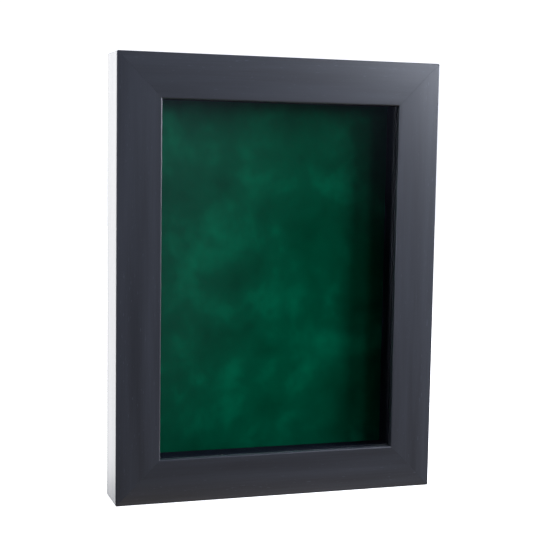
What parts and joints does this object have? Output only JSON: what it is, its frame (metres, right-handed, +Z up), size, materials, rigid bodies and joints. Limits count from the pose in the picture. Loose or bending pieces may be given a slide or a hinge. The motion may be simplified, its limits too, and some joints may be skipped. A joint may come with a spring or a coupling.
{
  "type": "shadow box",
  "caption": "Rear-loading shadow box: a deep black mitred frame with a glass front, black liners and a green velvet-covered backing held by turn buttons.",
  "frame": {"origin": "middle of the flat underside of the bottom rail, where the box stands", "axes": "+X to the right seen from the glass side, +Y from the glass towards the back, +Z up"},
  "size_m": [0.272, 0.0435, 0.359],
  "materials": {
    "black_wood": "satin black stain over fine straight grain",
    "black_liner": "matt black paint",
    "glass": "clear polished",
    "green_velvet": "short pile, mottled by the lie of its nap",
    "softboard": "raw soft fibreboard",
    "hardboard": "tempered hardboard, smooth side out",
    "zinc_steel": "bright zinc plate",
    "rubber": "matt moulded"
  },
  "bodies": {
    "frame": {"frame_bottom_rail": "black_wood", "liner_bottom": "black_liner", "frame_right_stile": "black_wood", "liner_right": "black_liner", "frame_top_rail": "black_wood", "liner_top": "black_liner", "frame_left_stile": "black_wood", "liner_left": "black_liner", "v_nail_bottom_left_outer": "zinc_steel", "v_nail_bottom_left_inner": "zinc_steel", "v_nail_bottom_right_outer": "zinc_steel", "v_nail_bottom_right_inner": "zinc_steel", "v_nail_top_left_outer": "zinc_steel", "v_nail_top_left_inner": "zinc_steel", "v_nail_top_right_outer": "zinc_steel", "v_nail_top_right_inner": "zinc_steel", "button_screw_bottom_left": "zinc_steel", "button_screw_bottom_right": "zinc_steel", "button_screw_right_lower": "zinc_steel", "button_screw_right_upper": "zinc_steel", "button_screw_top_right": "zinc_steel", "button_screw_top_left": "zinc_steel", "sawtooth_hanger_top": "zinc_steel", "hanger_nail_top_right": "zinc_steel", "hanger_nail_top_left": "zinc_steel", "button_screw_left_upper": "zinc_steel", "button_screw_left_lower": "zinc_steel", "sawtooth_hanger_left": "zinc_steel", "hanger_nail_left_upper": "zinc_steel", "hanger_nail_left_lower": "zinc_steel", "glass_pane": "glass", "wall_bumper_left": "rubber", "wall_bumper_right": "rubber"},
    "backing": {"velvet_cover": "green_velvet", "pin_board": "softboard", "back_panel": "hardboard"},
    "turn_button_bottom_left": {"turn_button_bottom_left": "zinc_steel"},
    "turn_button_bottom_right": {"turn_button_bottom_right": "zinc_steel"},
    "turn_button_right_lower": {"turn_button_right_lower": "zinc_steel"},
    "turn_button_right_upper": {"turn_button_right_upper": "zinc_steel"},
    "turn_button_top_right": {"turn_button_top_right": "zinc_steel"},
    "turn_button_top_left": {"turn_button_top_left": "zinc_steel"},
    "turn_button_left_upper": {"turn_button_left_upper": "zinc_steel"},
    "turn_button_left_lower": {"turn_button_left_lower": "zinc_steel"}
  },
  "joints": [
    {"name": "backing_slide", "type": "slide", "parent": "frame", "child": "backing", "axis": [0, 1, 0], "range_m": [0, 0.06]},
    {"name": "turn_bottom_left", "type": "hinge", "parent": "frame", "child": "turn_button_bottom_left", "pos_m": [-0.05, 0.0207, 0.022], "axis": [0, 1, 0], "range_deg": [0, 90]},
    {"name": "turn_bottom_right", "type": "hinge", "parent": "frame", "child": "turn_button_bottom_right", "pos_m": [0.05, 0.0207, 0.022], "axis": [0, -1, 0], "range_deg": [0, 90]},
    {"name": "turn_right_lower", "type": "hinge", "parent": "frame", "child": "turn_button_right_lower", "pos_m": [0.114, 0.0207, 0.0945], "axis": [0, 1, 0], "range_deg": [0, 90]},
    {"name": "turn_right_upper", "type": "hinge", "parent": "frame", "child": "turn_button_right_upper", "pos_m": [0.114, 0.0207, 0.2645], "axis": [0, -1, 0], "range_deg": [0, 90]},
    {"name": "turn_top_right", "type": "hinge", "parent": "frame", "child": "turn_button_top_right", "pos_m": [0.05, 0.0207, 0.337], "axis": [0, 1, 0], "range_deg": [0, 90]},
    {"name": "turn_top_left", "type": "hinge", "parent": "frame", "child": "turn_button_top_left", "pos_m": [-0.05, 0.0207, 0.337], "axis": [0, -1, 0], "range_deg": [0, 90]},
    {"name": "turn_left_upper", "type": "hinge", "parent": "frame", "child": "turn_button_left_upper", "pos_m": [-0.114, 0.0207, 0.2645], "axis": [0, 1, 0], "range_deg": [0, 90]},
    {"name": "turn_left_lower", "type": "hinge", "parent": "frame", "child": "turn_button_left_lower", "pos_m": [-0.114, 0.0207, 0.0945], "axis": [0, -1, 0], "range_deg": [0, 90]}
  ]
}
